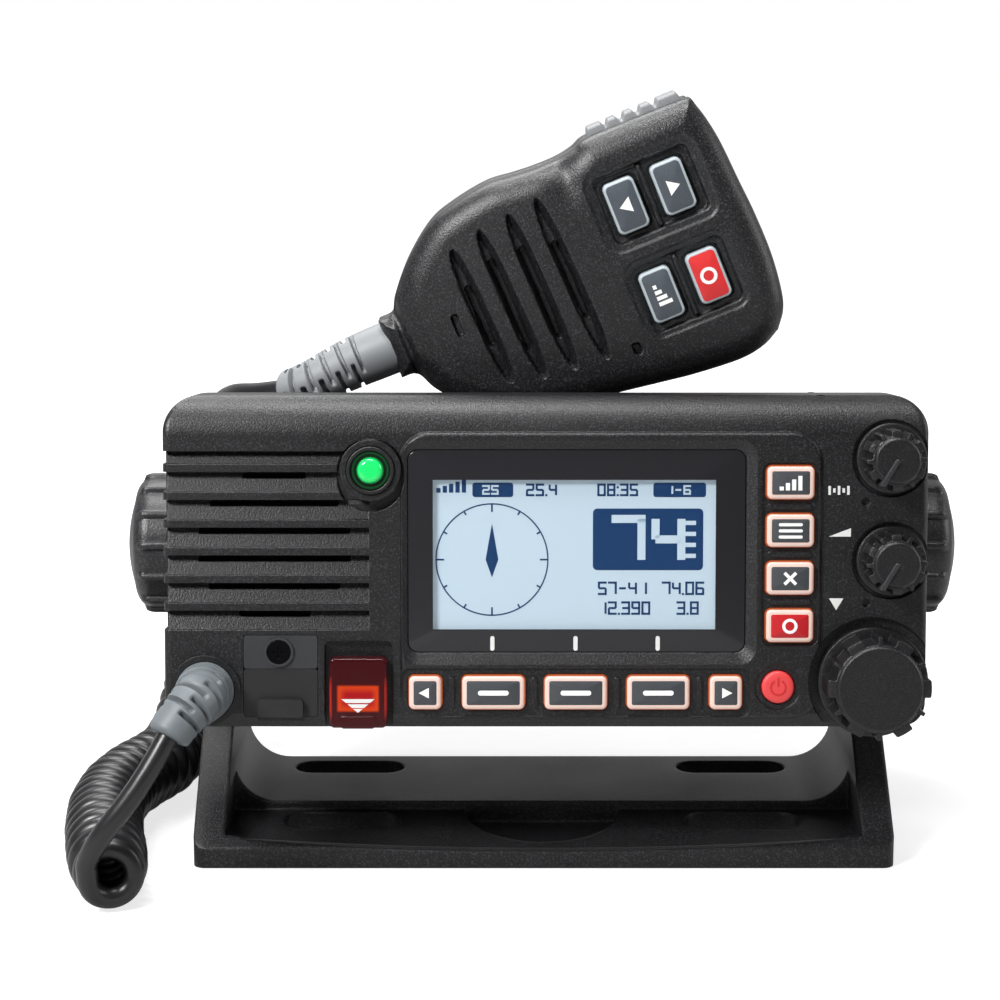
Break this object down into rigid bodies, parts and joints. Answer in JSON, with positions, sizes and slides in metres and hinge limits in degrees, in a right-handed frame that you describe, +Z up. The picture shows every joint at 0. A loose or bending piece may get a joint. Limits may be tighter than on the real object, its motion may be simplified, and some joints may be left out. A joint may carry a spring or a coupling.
{
  "type": "fixed-mount marine VHF radio",
  "caption": "Fixed-mount marine radio in a tilting U bracket, with display, keys, control knobs, loudspeaker grille and a fist microphone on a curly cord.",
  "frame": {"origin": "middle of the four mounting slots, on the surface that the bracket stands on", "axes": "+X to the right as the front is seen, +Y from the front to the back, +Z up from the mounting surface"},
  "size_m": [0.2249, 0.1728, 0.1876],
  "materials": {
    "bracket_plastic": "fine spark-eroded grain, black",
    "clamp_plastic": "fine grain, black, ribbed grip",
    "steel": "stainless, turned",
    "brass": "turned",
    "washer_rubber": "black, smooth",
    "panel_plastic": "fine spark-eroded grain, black",
    "window": "polished, black border printed behind",
    "screen": "lit liquid crystal, pale blue grey",
    "key_rubber": "soft touch, white symbols",
    "red_key_rubber": "soft touch, white symbols",
    "power_rubber": "soft touch",
    "lit_red": "lit from behind",
    "clear_red": "see-through, moulded",
    "board": "solder mask",
    "green_lens": "clear dome",
    "lamp_ring": "moulded",
    "speaker_metal": "pressed, black",
    "cone_paper": "coated paper",
    "connector": "moulded",
    "cover_rubber": "satin",
    "shaft_metal": "turned",
    "knob_plastic": "satin, fine grain",
    "gasket_rubber": "smooth",
    "cast_case": "die-cast, black powder coat",
    "plated": "nickel plated",
    "gland_plastic": "smooth",
    "grey_rubber": "ribbed, mid grey",
    "cord_rubber": "satin",
    "mic_plastic": "fine spark-eroded grain, black",
    "mic_key_rubber": "soft touch, white symbols"
  },
  "bodies": {
    "bracket": {"bracket": "bracket_plastic", "bracket_washers": "washer_rubber"},
    "radio": {"front_panel": "panel_plastic", "display_window": "window", "lcd_module": "screen", "key_board": "board", "lamp_bezel": "lamp_ring", "lamp_lens": "green_lens", "speaker_frame": "speaker_metal", "speaker_cone": "cone_paper", "data_port": "connector", "port_cover": "cover_rubber", "port_screw": "steel", "control_pots": "connector", "panel_gasket": "gasket_rubber", "chassis": "cast_case", "chassis_screws": "steel", "antenna_socket": "plated", "power_gland": "gland_plastic", "data_socket": "gland_plastic", "main_board": "board", "pivot_inserts": "brass", "outlet_ring": "knob_plastic", "panel_boot": "grey_rubber", "cord_lead": "cord_rubber", "cord_coil": "cord_rubber", "cord_tail": "cord_rubber"},
    "left_clamp": {"clamp_knob_left": "clamp_plastic", "clamp_stud_left": "steel"},
    "right_clamp": {"clamp_knob_right": "clamp_plastic", "clamp_stud_right": "steel"},
    "left_arrow": {"left_arrow_key": "key_rubber"},
    "soft_left": {"soft_key_left": "key_rubber"},
    "soft_middle": {"soft_key_middle": "key_rubber"},
    "soft_right": {"soft_key_right": "key_rubber"},
    "right_arrow": {"right_arrow_key": "key_rubber"},
    "power_level": {"power_level_key": "key_rubber"},
    "menu": {"menu_key": "key_rubber"},
    "clear": {"clear_key": "key_rubber"},
    "priority": {"priority_key": "red_key_rubber"},
    "power": {"power_key": "power_rubber"},
    "emergency": {"emergency_button": "lit_red"},
    "emergency_cover": {"emergency_cover": "clear_red"},
    "port_flap": {"port_flap": "cover_rubber"},
    "squelch": {"squelch_knob": "knob_plastic", "squelch_shaft": "shaft_metal"},
    "volume": {"volume_knob": "knob_plastic", "volume_shaft": "shaft_metal"},
    "channel_push": {"channel_shaft": "shaft_metal"},
    "channel_dial": {"channel_knob": "knob_plastic"},
    "mic": {"mic_front_shell": "mic_plastic", "mic_rear_shell": "mic_plastic", "hanger_stud": "mic_plastic", "mic_board": "board", "mic_boot": "grey_rubber"},
    "talk_bar": {"talk_bar": "grey_rubber"},
    "mic_down": {"mic_down_key": "mic_key_rubber"},
    "mic_up": {"mic_up_key": "mic_key_rubber"},
    "mic_power_level": {"mic_power_level_key": "mic_key_rubber"},
    "mic_priority": {"mic_priority_key": "red_key_rubber"}
  },
  "joints": [
    {"name": "radio_tilt", "type": "hinge", "parent": "bracket", "child": "radio", "pos_m": [0, 0.00825, 0.0712], "axis": [1, 0, 0], "range_deg": [-22, 12]},
    {"name": "left_clamp_turn", "type": "hinge", "parent": "radio", "child": "left_clamp", "pos_m": [-0.096, 0.00825, 0.0712], "axis": [1, 0, 0], "continuous": true},
    {"name": "right_clamp_turn", "type": "hinge", "parent": "radio", "child": "right_clamp", "pos_m": [0.096, 0.00825, 0.0712], "axis": [1, 0, 0], "continuous": true},
    {"name": "left_arrow_press", "type": "slide", "parent": "radio", "child": "left_arrow", "axis": [0, 0.9936, -0.1132], "range_m": [0, 0.0006], "stiffness_N_per_m": 4000},
    {"name": "soft_left_press", "type": "slide", "parent": "radio", "child": "soft_left", "axis": [0, 0.9936, -0.1132], "range_m": [0, 0.0006], "stiffness_N_per_m": 4000},
    {"name": "soft_middle_press", "type": "slide", "parent": "radio", "child": "soft_middle", "axis": [0, 0.9936, -0.1132], "range_m": [0, 0.0006], "stiffness_N_per_m": 4000},
    {"name": "soft_right_press", "type": "slide", "parent": "radio", "child": "soft_right", "axis": [0, 0.9936, -0.1132], "range_m": [0, 0.0006], "stiffness_N_per_m": 4000},
    {"name": "right_arrow_press", "type": "slide", "parent": "radio", "child": "right_arrow", "axis": [0, 0.9936, -0.1132], "range_m": [0, 0.0006], "stiffness_N_per_m": 4000},
    {"name": "power_level_press", "type": "slide", "parent": "radio", "child": "power_level", "axis": [0, 0.9936, -0.1132], "range_m": [0, 0.0006], "stiffness_N_per_m": 4000},
    {"name": "menu_press", "type": "slide", "parent": "radio", "child": "menu", "axis": [0, 0.9936, -0.1132], "range_m": [0, 0.0006], "stiffness_N_per_m": 4000},
    {"name": "clear_press", "type": "slide", "parent": "radio", "child": "clear", "axis": [0, 0.9936, -0.1132], "range_m": [0, 0.0006], "stiffness_N_per_m": 4000},
    {"name": "priority_press", "type": "slide", "parent": "radio", "child": "priority", "axis": [0, 0.9936, -0.1132], "range_m": [0, 0.0006], "stiffness_N_per_m": 4000},
    {"name": "power_press", "type": "slide", "parent": "radio", "child": "power", "axis": [0, 0.9936, -0.1132], "range_m": [0, 0.0006], "stiffness_N_per_m": 4000},
    {"name": "emergency_press", "type": "slide", "parent": "radio", "child": "emergency", "axis": [0, 0.9936, -0.1132], "range_m": [0, 0.0006], "stiffness_N_per_m": 4000},
    {"name": "emergency_cover_lift", "type": "hinge", "parent": "radio", "child": "emergency_cover", "pos_m": [-0.0441, -0.05102, 0.0545], "axis": [-1, 0, 0], "range_deg": [0, 100]},
    {"name": "port_flap_lift", "type": "hinge", "parent": "radio", "child": "port_flap", "pos_m": [-0.0625, -0.05058, 0.05309], "axis": [-1, 0, 0], "range_deg": [0, 110]},
    {"name": "squelch_turn", "type": "hinge", "parent": "radio", "child": "squelch", "pos_m": [0.0811, -0.04495, 0.10252], "axis": [0, 0.9936, -0.1132], "range_deg": [0, 300]},
    {"name": "volume_turn", "type": "hinge", "parent": "radio", "child": "volume", "pos_m": [0.0813, -0.04767, 0.07858], "axis": [0, 0.9936, -0.1132], "range_deg": [0, 300]},
    {"name": "channel_push", "type": "slide", "parent": "radio", "child": "channel_push", "axis": [0, 0.9936, -0.1132], "range_m": [0, 0.0008], "stiffness_N_per_m": 4000},
    {"name": "channel_turn", "type": "hinge", "parent": "channel_push", "child": "channel_dial", "pos_m": [0.0772, -0.05091, 0.05016], "axis": [0, -0.9936, 0.1132], "continuous": true},
    {"name": "mic_lift", "type": "slide", "parent": "radio", "child": "mic", "axis": [0, 0, 1], "range_m": [0, 0.025]},
    {"name": "talk_press", "type": "slide", "parent": "mic", "child": "talk_bar", "axis": [0.3811, 0, -0.9245], "range_m": [0, 0.0012], "stiffness_N_per_m": 4000},
    {"name": "mic_down_press", "type": "slide", "parent": "mic", "child": "mic_down", "axis": [0, 1, 0], "range_m": [0, 0.0005], "stiffness_N_per_m": 4000},
    {"name": "mic_up_press", "type": "slide", "parent": "mic", "child": "mic_up", "axis": [0, 1, 0], "range_m": [0, 0.0005], "stiffness_N_per_m": 4000},
    {"name": "mic_power_level_press", "type": "slide", "parent": "mic", "child": "mic_power_level", "axis": [0, 1, 0], "range_m": [0, 0.0005], "stiffness_N_per_m": 4000},
    {"name": "mic_priority_press", "type": "slide", "parent": "mic", "child": "mic_priority", "axis": [0, 1, 0], "range_m": [0, 0.0005], "stiffness_N_per_m": 4000}
  ]
}
